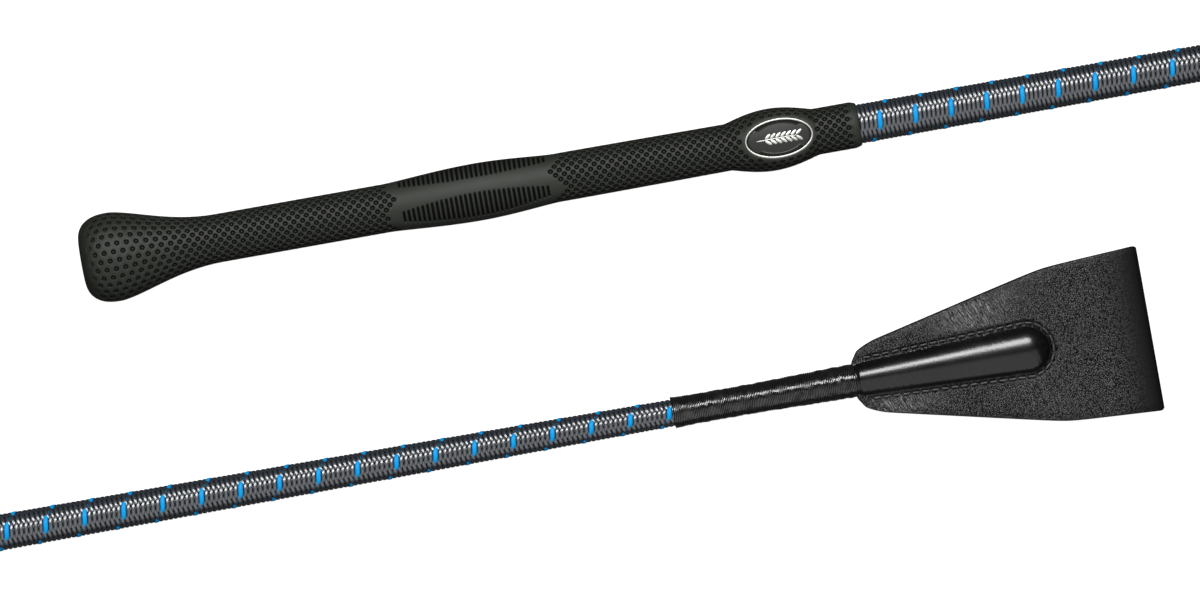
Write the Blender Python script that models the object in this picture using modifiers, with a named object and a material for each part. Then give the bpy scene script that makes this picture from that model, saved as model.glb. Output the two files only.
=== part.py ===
"""Riding crop: a tapered rod under a braided cover, a moulded rubber grip with a badge,
a thread whipping and a folded leather tongue whose free end bends.

The crop lies along +X, butt first, with the badge and the tongue's upper face towards +Z.
Sizes are in millimetres; "u" is the distance along the axis from the butt end.
"""

import math

import bmesh
import bpy
from mathutils import Vector

MM = 0.001
LENGTH = 650.0
AXIS_HEIGHT = 12.4  # the bulb's radius: the crop's axis above the surface it lies on
SIDES = 32  # facets round a turned piece

# Rod and braided cover
ROD_START = 8.2
ROD_END = 618.0
ROD_TIP_RADIUS = 2.35
SHAFT_START = 218.6  # where the shaft leaves the grip
SHAFT_TAPER_END = 515.0
SHAFT_RADIUS = 5.5
BRAID_WALL = 0.75
BRAID_END = 519.0
SLIP_GAP = 0.15  # clearance between nested pieces

# Blue tracer yarn of the braid
LAY_AT_GRIP = 10.0  # length of one turn of a yarn, near the grip and further on
LAY_ON_SHAFT = 10.95
LAY_CHANGE_START = 262.0
LAY_CHANGE_END = 302.0
TRACER_FRONT = 224.4  # where it first crosses the top of the shaft
TRACER_RADIUS = 0.25
TRACER_STEPS = 12  # points in a turn
TRACER_LIFT = 0.25  # keeps the straight stretches between those points off the cover

# Tip cap
CAP_START = 609.0
CAP_RADIUS = 3.2
CAP_END = 619.0

# Grip
GRIP_RADIUS = 6.75
GRIP_FRONT_RADIUS = 6.45
GRIP_BORE = 5.65
BULB_RADIUS = 12.4
BULB_WIDEST = 9.1
BULB_END = 39.0
BUTT_FLAT = 5.0  # radius of the flat middle of the butt
SWELL_HEIGHT = 1.25
SWELL_START = 86.0
SWELL_TOP = 111.5
SWELL_END = 133.0
SEAT_HEIGHT = 2.2  # the swelling that carries the badge
SEAT_START = 181.8
SEAT_TOP = 194.0
SEAT_END = 206.4
FRONT_CHAMFER = 1.8

# Badge
BADGE_AT = 196.0
BADGE_HALF_LENGTH = 9.7
BADGE_HALF_WIDTH = 5.6
BADGE_TOP = 8.05  # its middle above the axis
BADGE_BEND_LENGTHWAYS = 55.0  # radii of its crown
BADGE_BEND_ACROSS = 30.0
RIM_WIDTH = 0.75
RIM_RISE = 0.2  # the rim stands this far above the plate
BADGE_DEPTH = 0.8
BADGE_GAP = 0.1  # between plate and rim
POCKET_GAP = 0.3  # between the badge and its pocket in the rubber

# Whipping
WHIP_START = 515.4
WHIP_END = 567.2
WHIP_LIP = 4.5
WHIP_WAIST = 4.25
WHIP_MOUTH = 4.65
WHIP_BORE = 3.85

# Leather tongue
LEATHER = 1.4
TAB_LEATHER = 0.7  # skived thin under the whipping
TAB_START = 521.0
TAB_HALF_ANGLE = math.radians(80.0)
LEAF_GAP = 0.15  # half the gap between the two leaves
NECK_END = 573.0
NECK_HALF_WIDTH = 4.65
SHOULDER_START = 566.6
SHOULDER_END = 575.0
SIDE_AT = 577.0  # the straight side's reference station and its half width there
SIDE_HALF_WIDTH = 11.0
SIDE_SLOPE = 0.2325
END_HALF_WIDTH = 23.2
END_SLOPE = 0.055
SIDE_BEND = 0.6  # softness of the bend between the two slopes
RIDGE_NECK_HALF_WIDTH = 4.4
RIDGE_HALF_WIDTH = 6.3
RIDGE_ROUND = 615.2  # where the ridge's rounded end begins
RIDGE_ROUND_LENGTH = 6.3
RIDGE_NECK_HEIGHT = 4.65
RIDGE_HEIGHT = 4.9
DOME_STATIONS = 8  # steps along a leaf past the start of the ridge's rounded end
LEAF_COLUMNS = 18

# Free end of the tongue
HINGE_AT = 625.0
HINGE_CLEARANCE = 0.35
FOLD_RADIUS = 2.5  # outside of the fold
FOLD_SWELL_START = 636.0

# Seam thread
THREAD_RADIUS = 0.28
SEAM_OFFSET = 1.2  # the seam runs this far outside the ridge
SEAM_LIFT = 0.3  # clears the leather's facets beside the ridge
SEAM_START = 573.0
SEAM_STEP = 2.7  # stitch length


def clear_scene():
    for old in list(bpy.data.objects):
        bpy.data.objects.remove(old, do_unlink=True)


def collection(name):
    made = bpy.data.collections.new(name)
    bpy.context.scene.collection.children.link(made)
    return made


def material(name, colour, roughness, metallic=0.0):
    made = bpy.data.materials.new(name)
    made.use_nodes = True
    shader = made.node_tree.nodes["Principled BSDF"]
    shader.inputs["Base Color"].default_value = (*colour, 1.0)
    shader.inputs["Roughness"].default_value = roughness
    shader.inputs["Metallic"].default_value = metallic
    return made


def empty(name, u):
    """A marker on the crop's axis, which pieces hang from."""
    made = bpy.data.objects.new(name, None)
    made.location = ((u - LENGTH / 2) * MM, 0.0, AXIS_HEIGHT * MM)
    PARTS.objects.link(made)
    return made


def place(name, data, finish, parent):
    made = bpy.data.objects.new(name, data)
    made.parent = parent
    data.materials.append(finish)
    PARTS.objects.link(made)
    return made


def smooth_step(x):
    x = min(max(x, 0.0), 1.0)
    return x * x * (3.0 - 2.0 * x)


def spread(first, last, count):
    """count + 1 evenly spaced values from first to last."""
    return [first + (last - first) * i / count for i in range(count + 1)]


def turned(name, profile, finish, closed=False):
    """A piece turned about the crop's axis from (u, radius) points.

    The profile runs from the tongue end towards the butt on its outer side.
    """
    mesh = bpy.data.meshes.new(name)
    points = [(radius * MM, 0.0, u * MM) for u, radius in profile]
    edges = [(i, i + 1) for i in range(len(points) - 1)]
    if closed:
        edges.append((len(points) - 1, 0))
    mesh.from_pydata(points, edges, [])
    piece = place(name, mesh, finish, BUTT)
    piece.rotation_euler.y = math.pi / 2
    screw = piece.modifiers.new("turn", "SCREW")
    screw.axis = "Z"
    screw.steps = SIDES
    screw.render_steps = SIDES
    screw.use_merge_vertices = True
    screw.merge_threshold = 0.00001
    screw.use_smooth_shade = True
    return piece


def shell(name, upper, lower, ring=False):
    """A closed mesh between two grids of points of the same size, in millimetres.

    With ring, each row closes on itself.
    """
    build = bmesh.new()
    grids = [[[build.verts.new(Vector(p) * MM) for p in row] for row in grid] for grid in (upper, lower)]
    rows = len(upper)
    columns = len(upper[0])
    cells = columns if ring else columns - 1
    for i in range(rows - 1):
        for j in range(cells):
            k = (j + 1) % columns
            for grid in grids:
                build.faces.new((grid[i][j], grid[i + 1][j], grid[i + 1][k], grid[i][k]))
    top, bottom = grids
    for i in (0, rows - 1):
        for j in range(cells):
            k = (j + 1) % columns
            build.faces.new((top[i][j], top[i][k], bottom[i][k], bottom[i][j]))
    if not ring:
        for j in (0, columns - 1):
            for i in range(rows - 1):
                build.faces.new((top[i][j], top[i + 1][j], bottom[i + 1][j], bottom[i][j]))
    bmesh.ops.remove_doubles(build, verts=build.verts, dist=0.000001)
    bmesh.ops.recalc_face_normals(build, faces=build.faces)
    mesh = bpy.data.meshes.new(name)
    build.to_mesh(mesh)
    build.free()
    return mesh


def wire(name, points, radius, resolution, finish):
    """A round thread through points, in millimetres from the butt end."""
    curve = bpy.data.curves.new(name, "CURVE")
    curve.dimensions = "3D"
    curve.bevel_depth = radius * MM
    curve.bevel_resolution = resolution
    curve.use_fill_caps = True
    spline = curve.splines.new("POLY")
    spline.points.add(len(points) - 1)
    for spot, (x, y, z) in zip(spline.points, points):
        spot.co = (x * MM, y * MM, z * MM, 1.0)
    return place(name, curve, finish, BUTT)


def shaft_radius(u):
    """Outer radius of the braided shaft: level under the grip, then a taper that quickens."""
    x = max(u - SHAFT_START, 0.0) / (SHAFT_TAPER_END - SHAFT_START)
    return SHAFT_RADIUS - 0.95 * x - 0.75 * x * x


def rod_radius(u):
    """Radius of the rod: it follows the braid's taper, then narrows evenly to its tip."""
    if u <= SHAFT_TAPER_END:
        return shaft_radius(u) - BRAID_WALL - SLIP_GAP
    thick = rod_radius(SHAFT_TAPER_END)
    x = (u - SHAFT_TAPER_END) / (ROD_END - SHAFT_TAPER_END)
    return thick + (ROD_TIP_RADIUS - thick) * x


def shaft_stations():
    """Places along the braid from its tongue end down to the butt."""
    return [BRAID_END] + spread(SHAFT_TAPER_END, SHAFT_START, 7) + [ROD_START]


def add_rod():
    """The tapered fibreglass rod, the crop's one structural member."""
    stations = [ROD_END - 0.3] + shaft_stations()
    profile = [(ROD_END, 0.0), (ROD_END, ROD_TIP_RADIUS - 0.3)]
    profile += [(u, rod_radius(u)) for u in stations]
    profile.append((ROD_START, 0.0))
    turned("rod_core", profile, material("fibreglass", (0.62, 0.60, 0.48), 0.45))


def add_braid():
    """The braided cover that the rod is drawn into, from the butt to under the whipping."""
    stations = shaft_stations()
    outer = [(u, shaft_radius(u)) for u in stations]
    inner = [(u, rod_radius(u) + SLIP_GAP) for u in reversed(stations)]
    turned("braid_cover", outer + inner, material("grey_braid", (0.075, 0.08, 0.095), 0.55), closed=True)


def braid_lay(u):
    """Length of one turn of a yarn: shorter where the braid is tight against the grip."""
    change = smooth_step((u - LAY_CHANGE_START) / (LAY_CHANGE_END - LAY_CHANGE_START))
    return LAY_AT_GRIP + (LAY_ON_SHAFT - LAY_AT_GRIP) * change


def add_tracer():
    """The one blue yarn of the braid, a helix that climbs round the shaft."""
    backward = math.floor((TRACER_FRONT - SHAFT_START - 1.0) / LAY_AT_GRIP * TRACER_STEPS)
    u = TRACER_FRONT - LAY_AT_GRIP * backward / TRACER_STEPS
    angle = -math.tau * backward / TRACER_STEPS
    points = []
    while u < WHIP_START - 0.5:
        out = shaft_radius(u) + TRACER_LIFT + TRACER_RADIUS
        points.append((u, out * math.sin(angle), out * math.cos(angle)))
        u += braid_lay(u) / TRACER_STEPS
        angle += math.tau / TRACER_STEPS
    wire("tracer_yarn", points, TRACER_RADIUS, 0, material("blue_yarn", (0.01, 0.22, 0.60), 0.4))


def add_tip_cap():
    """The moulded cap that keeps the rod's end from wearing through the leather."""
    bore = rod_radius(CAP_START) + SLIP_GAP
    dome = []
    for angle in spread(0.0, math.pi / 2, 5):
        u = CAP_END - CAP_RADIUS * 0.7 * (1.0 - math.cos(angle))
        dome.append((u, CAP_RADIUS * math.sin(angle)))
    profile = [(ROD_END + SLIP_GAP, 0.0), (ROD_END + SLIP_GAP, bore), (CAP_START, bore)]
    profile.append((CAP_START, CAP_RADIUS))
    turned("tip_cap", dome + profile[::-1], material("black_cap", (0.02, 0.02, 0.02), 0.5))


def grip_radius(u):
    """Outer radius of the grip forward of the bulb's widest place."""
    radius = GRIP_RADIUS
    radius -= (GRIP_RADIUS - GRIP_FRONT_RADIUS) * smooth_step((u - SWELL_END) / (SEAT_END - SWELL_END))
    if u < BULB_END:
        along = ((u - BULB_WIDEST) / (BULB_END - BULB_WIDEST)) ** 0.75
        radius += (BULB_RADIUS - GRIP_RADIUS) * (1.0 + math.cos(math.pi * along)) / 2.0
    humps = (
        (SWELL_START, SWELL_TOP, SWELL_END, SWELL_HEIGHT, 1.25),
        (SEAT_START, SEAT_TOP, SEAT_END, SEAT_HEIGHT, 1.0),
    )
    for start, top, end, height, power in humps:
        away = (u - top) / ((end - top) if u > top else (top - start))
        if abs(away) < 1.0:
            radius += height * math.cos(away * math.pi / 2.0) ** power
    return radius


def butt_profile():
    """(u, radius) round the butt, from the bulb's widest place to the middle of its flat."""
    points = []
    for angle in spread(0.0, math.pi / 2, 6)[1:]:
        away = math.sin(angle)
        rise = (1.0 - away**2.5) ** (1.0 / 2.5)
        points.append((BULB_WIDEST * (1.0 - away), BUTT_FLAT + (BULB_RADIUS - BUTT_FLAT) * rise))
    return points + [(0.0, 0.0)]


def add_grip():
    """The moulded rubber grip: bulb, waist, thumb swell and badge seat, pushed on over the braid."""
    stations = [SHAFT_START - FRONT_CHAMFER]
    stations += spread(SEAT_END, SEAT_START, 10)
    stations += spread(SWELL_END, SWELL_START, 12)
    stations += spread(BULB_END, BULB_WIDEST, 11)
    profile = [(ROD_START - 0.3, 0.0), (ROD_START - 0.3, GRIP_BORE), (SHAFT_START, GRIP_BORE)]
    profile.append((SHAFT_START, GRIP_FRONT_RADIUS - 0.5))
    profile += [(u, grip_radius(u)) for u in stations]
    profile += butt_profile()
    grip = turned("grip_body", profile, material("black_rubber", (0.02, 0.021, 0.018), 0.6))
    cutter_mesh = crowned_oval("badge_pocket", POCKET_GAP, -BADGE_DEPTH - POCKET_GAP, 5.0)
    cutter = bpy.data.objects.new("badge_pocket", cutter_mesh)
    cutter.parent = BUTT
    cutter.hide_render = True
    cutter.display_type = "WIRE"
    CUTTERS.objects.link(cutter)
    cut = grip.modifiers.new("badge pocket", "BOOLEAN")
    cut.object = cutter
    cut.operation = "DIFFERENCE"
    cut.solver = "EXACT"


def crowned_oval(name, grow, low, high, band=None):
    """An oval plate or ring, crowned to follow the badge seat.

    grow widens the badge's outline, and low and high are the heights of the faces above
    the crown. With band, only a ring of that width is made.
    """
    ends = Vector((BADGE_HALF_LENGTH + grow, BADGE_HALF_WIDTH + grow))
    start = Vector((0.0, 0.0)) if band is None else ends - Vector((band, band))
    faces = []
    for height in (high, low):
        rows = []
        for share in spread(0.0, 1.0, 4 if band is None else 1):
            half = start.lerp(ends, share)
            row = []
            for angle in spread(0.0, math.tau, 40)[:-1]:
                x = half.x * math.cos(angle)
                y = half.y * math.sin(angle)
                sag = x * x / (2 * BADGE_BEND_LENGTHWAYS) + y * y / (2 * BADGE_BEND_ACROSS)
                row.append((BADGE_AT + x, y, BADGE_TOP - sag + height))
            rows.append(row)
        faces.append(rows)
    return shell(name, faces[0], faces[1], ring=True)


def add_badge():
    """The oval badge in its pocket: a dark plate inside a bright rim."""
    plate = crowned_oval("badge_plate", -(RIM_WIDTH + BADGE_GAP), -BADGE_DEPTH, 0.0)
    place("badge_plate", plate, material("badge_face", (0.03, 0.03, 0.03), 0.3), BUTT)
    rim = crowned_oval("badge_rim", 0.0, -BADGE_DEPTH, RIM_RISE, band=RIM_WIDTH)
    place("badge_rim", rim, material("bright_rim", (0.75, 0.75, 0.72), 0.25, 1.0), BUTT)


def whip_radius(u):
    """Outer radius of the whipping: a small lip, a waist, and a wider mouth at the tongue."""
    x = (u - WHIP_START) / (WHIP_END - WHIP_START)
    lip = (WHIP_LIP - WHIP_WAIST) * max(1.0 - x / 0.12, 0.0)
    mouth = (WHIP_MOUTH - WHIP_WAIST) * smooth_step((x - 0.35) / 0.65)
    return WHIP_WAIST + lip + mouth


def add_whipping():
    """The waxed thread wound tight over the braid's end and the tongue's two tabs."""
    outer = [(u, whip_radius(u)) for u in spread(WHIP_END, WHIP_START, 8)]
    step_at = BRAID_END + 1.0
    over_braid = shaft_radius(WHIP_START) + SLIP_GAP
    inner = [(WHIP_START, over_braid), (step_at, over_braid), (step_at, WHIP_BORE), (WHIP_END, WHIP_BORE)]
    turned("whipping_thread", outer + inner, material("waxed_thread", (0.015, 0.015, 0.016), 0.3), closed=True)


def half_width(u):
    """Half the tongue's width: a rounded shoulder, a straight flare, then nearly parallel sides."""
    flare = SIDE_HALF_WIDTH + SIDE_SLOPE * (u - SIDE_AT)
    end = END_HALF_WIDTH - END_SLOPE * (LENGTH - u)
    side = (flare + end - math.hypot(flare - end, SIDE_BEND)) / 2.0
    back = min(max((SHOULDER_END - u) / (SHOULDER_END - SHOULDER_START), 0.0), 1.0)
    return NECK_HALF_WIDTH + (side - NECK_HALF_WIDTH) * (1.0 - back * back) ** 0.35


def ridge_half_width(u):
    """Half the ridge's width: a straight taper from its rounded end down to the neck."""
    x = (u - WHIP_END) / (RIDGE_ROUND - WHIP_END)
    return RIDGE_NECK_HALF_WIDTH + (RIDGE_HALF_WIDTH - RIDGE_NECK_HALF_WIDTH) * x


def leaf_height(u, y):
    """Height of a leaf's outer face: flat, with a ridge over the rod that ends in a round dome."""
    flat = LEAF_GAP + LEATHER
    x = min(max((u - WHIP_END) / (RIDGE_ROUND - WHIP_END), 0.0), 1.0)
    top = RIDGE_NECK_HEIGHT + (RIDGE_HEIGHT - RIDGE_NECK_HEIGHT) * x
    past = max(u - RIDGE_ROUND, 0.0) / RIDGE_ROUND_LENGTH
    share = (y / ridge_half_width(min(u, RIDGE_ROUND))) ** 2 + past * past
    return flat + (top - flat) * max(1.0 - share, 0.0) ** 0.7


def leaf_point(u, across, outside, side):
    """A point of one leaf: an arc round the rod under the whipping, then the flat leaf with its ridge."""
    tab_out = rod_radius(u) + SLIP_GAP + TAB_LEATHER * (1.0 if outside else 0.0)
    angle = across * TAB_HALF_ANGLE
    tab = Vector((u, tab_out * math.sin(angle), tab_out * math.cos(angle)))
    y = across * half_width(max(u, WHIP_END))
    height = leaf_height(max(u, WHIP_END), y) - (0.0 if outside else LEATHER)
    open_leaf = Vector((u, y, height))
    point = tab.lerp(open_leaf, smooth_step((u - WHIP_END - 0.3) / (NECK_END - WHIP_END)))
    return (point.x, point.y, point.z * side)


def add_leaf(name, side, finish):
    """One leaf of the folded leather strip, sewn round the rod's tip; side is +1 above, -1 below."""
    last = HINGE_AT - LEAF_GAP - LEATHER - HINGE_CLEARANCE
    stations = spread(TAB_START, WHIP_END, 3)[:-1] + spread(WHIP_END, SHOULDER_END, 6)[:-1]
    stations += spread(SHOULDER_END, RIDGE_ROUND, 7)[:-1] + spread(RIDGE_ROUND, last, DOME_STATIONS)
    across = spread(-1.0, 1.0, LEAF_COLUMNS)
    outer = [[leaf_point(u, t, True, side) for t in across] for u in stations]
    inner = [[leaf_point(u, t, False, side) for t in across] for u in stations]
    place(name, shell(name, outer, inner), finish, BUTT)


def fold_path():
    """(u, z, tangent angle) along the middle of the leather, out over the top and back below."""
    flat = LEAF_GAP + LEATHER / 2
    round_mid = FOLD_RADIUS - LEATHER / 2
    centre = LENGTH - FOLD_RADIUS
    leg = [(u, flat) for u in spread(HINGE_AT, FOLD_SWELL_START, 2)]
    for x in spread(0.0, 1.0, 6)[1:]:
        u = FOLD_SWELL_START + (centre - FOLD_SWELL_START) * x
        leg.append((u, flat + (round_mid - flat) * smooth_step(x)))
    bend = [
        (centre + round_mid * math.sin(angle), round_mid * math.cos(angle))
        for angle in spread(0.0, math.pi, 10)[1:-1]
    ]
    return leg + bend + [(u, -z) for u, z in reversed(leg)]


def add_flap(finish):
    """The free end of the tongue, both leaves and the fold that joins them."""
    path = [Vector(p) for p in fold_path()]
    faces = []
    for offset in (LEATHER / 2, -LEATHER / 2):
        rows = []
        for i, spot in enumerate(path):
            along = (path[min(i + 1, len(path) - 1)] - path[max(i - 1, 0)]).normalized()
            u = spot.x - along.y * offset
            z = spot.y + along.x * offset
            wide = half_width(min(spot.x, LENGTH))
            rows.append([(u - HINGE_AT, wide * t, z) for t in (-1.0, 0.0, 1.0)])
        faces.append(rows)
    place("tongue_flap", shell("tongue_flap", faces[0], faces[1]), finish, HINGE)


def seam_line():
    """(u, y) along the U-shaped seam, from one side of the neck round the ridge's end to the other."""
    run = [
        (u, ridge_half_width(u) + SEAM_OFFSET)
        for u in spread(SEAM_START, RIDGE_ROUND, round((RIDGE_ROUND - SEAM_START) / SEAM_STEP))
    ]
    end = [
        (
            RIDGE_ROUND + (RIDGE_ROUND_LENGTH + SEAM_OFFSET) * math.cos(angle),
            (RIDGE_HALF_WIDTH + SEAM_OFFSET) * math.sin(angle),
        )
        for angle in spread(math.pi / 2, -math.pi / 2, 12)[1:-1]
    ]
    return run + end + [(u, -y) for u, y in reversed(run)]


def add_seam_thread(name, side, finish):
    """One of the lockstitch's two threads, lying on its leaf."""
    lift = LEAF_GAP + LEATHER + THREAD_RADIUS + SEAM_LIFT
    points = []
    for u, y in seam_line():
        height = max(leaf_point(u, y / half_width(u), True, 1.0)[2] - LEAF_GAP - LEATHER, 0.0)
        points.append((u, y, side * (lift + height)))
    wire(name, points, THREAD_RADIUS, 1, finish)


clear_scene()
PARTS = collection("riding_crop")
CUTTERS = collection("cutters")
BUTT = empty("butt_end", 0.0)
HINGE = empty("flap_bend", HINGE_AT)
add_rod()
add_braid()
add_tracer()
add_tip_cap()
add_grip()
add_badge()
add_whipping()
LEATHER_FINISH = material("black_leather", (0.03, 0.03, 0.031), 0.5)
add_leaf("tongue_upper_leaf", 1.0, LEATHER_FINISH)
add_leaf("tongue_lower_leaf", -1.0, LEATHER_FINISH)
add_flap(LEATHER_FINISH)
THREAD_FINISH = material("seam_thread", (0.04, 0.04, 0.042), 0.4)
add_seam_thread("seam_thread_upper", 1.0, THREAD_FINISH)
add_seam_thread("seam_thread_lower", -1.0, THREAD_FINISH)
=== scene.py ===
"""Looks of the riding crop: every visible piece as a fine mesh with its own finish."""

import math

import bpy
import numpy as np
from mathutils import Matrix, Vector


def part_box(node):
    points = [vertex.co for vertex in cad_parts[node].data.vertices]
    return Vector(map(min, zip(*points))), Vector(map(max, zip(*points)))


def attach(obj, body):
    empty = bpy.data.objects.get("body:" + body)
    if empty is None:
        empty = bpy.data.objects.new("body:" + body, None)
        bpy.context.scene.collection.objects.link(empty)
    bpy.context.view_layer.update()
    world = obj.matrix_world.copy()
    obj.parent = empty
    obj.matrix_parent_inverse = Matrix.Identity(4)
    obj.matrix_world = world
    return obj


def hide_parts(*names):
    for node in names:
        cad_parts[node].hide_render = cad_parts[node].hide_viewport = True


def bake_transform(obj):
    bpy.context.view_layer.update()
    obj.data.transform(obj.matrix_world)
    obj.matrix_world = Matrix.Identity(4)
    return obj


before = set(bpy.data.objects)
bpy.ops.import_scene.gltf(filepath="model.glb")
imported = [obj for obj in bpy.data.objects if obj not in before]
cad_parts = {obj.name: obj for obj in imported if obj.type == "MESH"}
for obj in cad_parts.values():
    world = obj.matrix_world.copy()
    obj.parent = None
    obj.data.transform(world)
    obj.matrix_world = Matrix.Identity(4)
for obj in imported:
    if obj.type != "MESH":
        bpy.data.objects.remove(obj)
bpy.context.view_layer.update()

# --- Rod ---
# A tapered rod of drawn glass fibre in resin carries the whole crop. It runs hidden from
# the bulb to the end of the tongue's ridge, straw-coloured with fine lengthwise streaks.


class Signal:
    """One output of a shader node, which adds and multiplies like a number."""

    def __init__(self, tree, socket=None):
        self.tree = tree
        self.socket = socket

    def feed(self, target, value):
        """Links a signal to a socket, or sets the socket to a plain value."""
        if isinstance(value, Signal):
            self.tree.links.new(value.socket, target)
        else:
            target.default_value = value

    def node(self, kind, inputs, output=0, **settings):
        """Adds a node: its settings first, then its sockets' values or links."""
        made = self.tree.nodes.new("ShaderNode" + kind)
        for name, value in settings.items():
            setattr(made, name, value)
        for name, value in inputs.items():
            self.feed(made.inputs[name], value)
        return None if output is None else Signal(self.tree, made.outputs[output])

    def maths(self, operation, first, second):
        return self.node("Math", {0: first, 1: second}, operation=operation)

    def __add__(self, other):
        return self.maths("ADD", self, other)

    __radd__ = __add__

    def __mul__(self, other):
        return self.maths("MULTIPLY", self, other)

    __rmul__ = __mul__

    def __sub__(self, other):
        return self.maths("SUBTRACT", self, other)

    def __rsub__(self, other):
        return self.maths("SUBTRACT", other, self)

    def __pow__(self, other):
        return self.maths("POWER", self, other)

    def sine(self):
        return self.maths("SINE", self, 0.0)

    def wrapped(self):
        """The distance to the nearest whole number, with its sign."""
        return self - self.maths("ROUND", self, 0.0)

    def parts(self):
        """The three components of a vector."""
        return [self.node("SeparateXYZ", {0: self}, output=place) for place in range(3)]

    def between(self, low, high):
        """0 below low, 1 above high and a smooth rise in between."""
        inputs = {"Value": self, "From Min": low, "From Max": high}
        return self.node("MapRange", inputs, interpolation_type="SMOOTHSTEP")

    def blend(self, low, high):
        """The colour low where this is 0 and high where it is 1."""
        inputs = {0: self, 6: (*low, 1.0), 7: (*high, 1.0)}
        return self.node("Mix", inputs, output=2, data_type="RGBA")


def new_finish(name, **constants):
    """A Principled material. Values that are the same all over go straight onto its sockets."""
    made = bpy.data.materials.new(name)
    made.use_nodes = True
    shader = made.node_tree.nodes["Principled BSDF"]
    for socket, value in constants.items():
        shader.inputs[socket.replace("_", " ")].default_value = value
    return made, Signal(made.node_tree), shader


def connect(build, shader, colour=None, roughness=None, height=None, bump=0.0, painted_shade=None):
    """Links what changes over the surface; height is in parts of bump, which is in millimetres.

    Where the last argument is 1, the surface is wholly a black matte: painted shade, standing for a hollow
    too narrow for light.
    """
    if colour is not None:
        build.feed(shader.inputs["Base Color"], colour)
    if roughness is not None:
        build.feed(shader.inputs["Roughness"], roughness)
    if height is not None:
        raised = build.node("Bump", {"Height": height, "Distance": bump * MM, "Strength": 1.0})
        build.feed(shader.inputs["Normal"], raised)
    if painted_shade is not None:
        # A black matte, mixed in as painted shade.
        black_matte_shade = build.node("BsdfDiffuse", {"Color": (0.0012, 0.0012, 0.0012, 1.0)})
        lit = Signal(build.tree, shader.outputs["BSDF"])
        mixed = build.node("MixShader", {0: painted_shade, 1: lit, 2: black_matte_shade})
        build.feed(build.tree.nodes["Material Output"].inputs["Surface"], mixed)


def noise(build, where, scale, detail=2.0, rough=0.5):
    """Cloudy noise, scale lumps to each unit of where."""
    inputs = {"Vector": where, "Scale": scale, "Detail": detail, "Roughness": rough}
    return build.node("TexNoise", inputs)


def stretched(build, along, across):
    """Object coordinates with this many lumps to a metre along the crop and across it."""
    place = build.node("TexCoord", {}, output="Object")
    return build.node("Mapping", {"Vector": place, "Scale": (along, across, across)})


def grained(name, lumps, detail, shades, dull, bump, rough=0.5, contrast=None, **constants):
    """A finish with one cloudy grain, in lumps to a metre along the crop and across it.

    The grain blends two shades, between the two values of contrast where given, adds up to
    dull[1] to the roughness dull[0], and stands up by bump millimetres.
    """
    made, build, shader = new_finish(name, **constants)
    grain = noise(build, stretched(build, *lumps), 1.0, detail, rough)
    tone = grain.between(*contrast) if contrast else grain
    connect(build, shader, tone.blend(*shades), dull[0] + dull[1] * grain, grain, bump)
    return made


def dress(node, finish):
    """Gives a CAD node a finish."""
    for material_slot in bpy.data.objects[node].material_slots:
        material_slot.material = finish


MM = 0.001
FIBRE = ((0.42, 0.38, 0.25), (0.68, 0.65, 0.50))
fibre_coat = {"Coat_Weight": 0.4, "Coat_Roughness": 0.2, "contrast": (0.3, 0.7)}
glass = grained("drawn_glass_fibre", (12.0, 2600.0), 4.0, FIBRE, (0.3, 0.25), 0.03, **fibre_coat)
dress("rod_core", glass)

# --- Tip cap ---
# A small moulded cap on the rod's end keeps it from wearing through the leather. It is
# plain black plastic with the faint grain of its mould, and fills the ridge's round end.

PLASTIC = ((0.012, 0.012, 0.012), (0.03, 0.03, 0.03))
dress("tip_cap", grained("moulded_cap", (2500.0, 2500.0), 3.0, PLASTIC, (0.45, 0.2), 0.02))

# --- Braid ---
# Sixteen flat nylon yarns are braided round the rod, eight of each hand, each over two and
# under two. Fifteen are slate grey and one is bright blue. The lay is tighter at the grip.

BUTT = float(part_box("grip_body")[0][0])
AXIS = float(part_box("grip_body")[1][2]) / 2


def ends(node):
    """Where a CAD node starts and ends, in millimetres from the butt."""
    return [(corner[0] - BUTT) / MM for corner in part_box(node)]


_, GRIP_END = ends("grip_body")
WHIP_START, WHIP_END = ends("whipping_thread")
COVER_START, COVER_END = ends("braid_cover")
SHAFT_RADIUS = 5.5
SHAFT_TAPER_END = 515.0
TRACER_FRONT = 224.4  # where the blue yarn first crosses the top of the shaft
LAY_AT_GRIP = 10.0
LAY_ON_SHAFT = 10.95
LAY_CHANGE = (262.0, 302.0)
YARN_WIDTH = 1.26
TRACER_WIDTH = 1.6
YARN_THICKNESS = 0.56
YARN_SWING = 0.18  # how far a yarn rises and falls between the layers
FLOAT_TURN = 0.75  # how much of its lean a yarn loses where it lies on top
YARN_STEPS = 44  # sections in a turn
YARN_SIDES = 8
YARNS = 8  # of one hand
FLOATS = 4  # times in a turn that a yarn comes to the top
SWING_SHARPNESS = 2.2  # how suddenly it changes layer


def smooth_step(x):
    """3x^2 - 2x^3, held at 0 before 0 and at 1 after 1."""
    x = np.clip(x, 0.0, 1.0)
    return x * x * (3.0 - 2.0 * x)


def vectors(*parts):
    """Arrays joined as the components of vectors, on a new last axis."""
    return np.stack(np.broadcast_arrays(*parts), axis=-1)


def shaft_radius(u):
    """The braid's outer radius: level under the grip, then a taper that quickens."""
    x = np.maximum(u - GRIP_END, 0.0) / (SHAFT_TAPER_END - GRIP_END)
    return SHAFT_RADIUS - 0.95 * x - 0.75 * x * x


def in_frame(points):
    """Crop millimetres, (distance from the butt, across, above the axis), in the frame's metres."""
    return np.asarray(points) * MM + np.array([BUTT, 0.0, AXIS])


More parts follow.
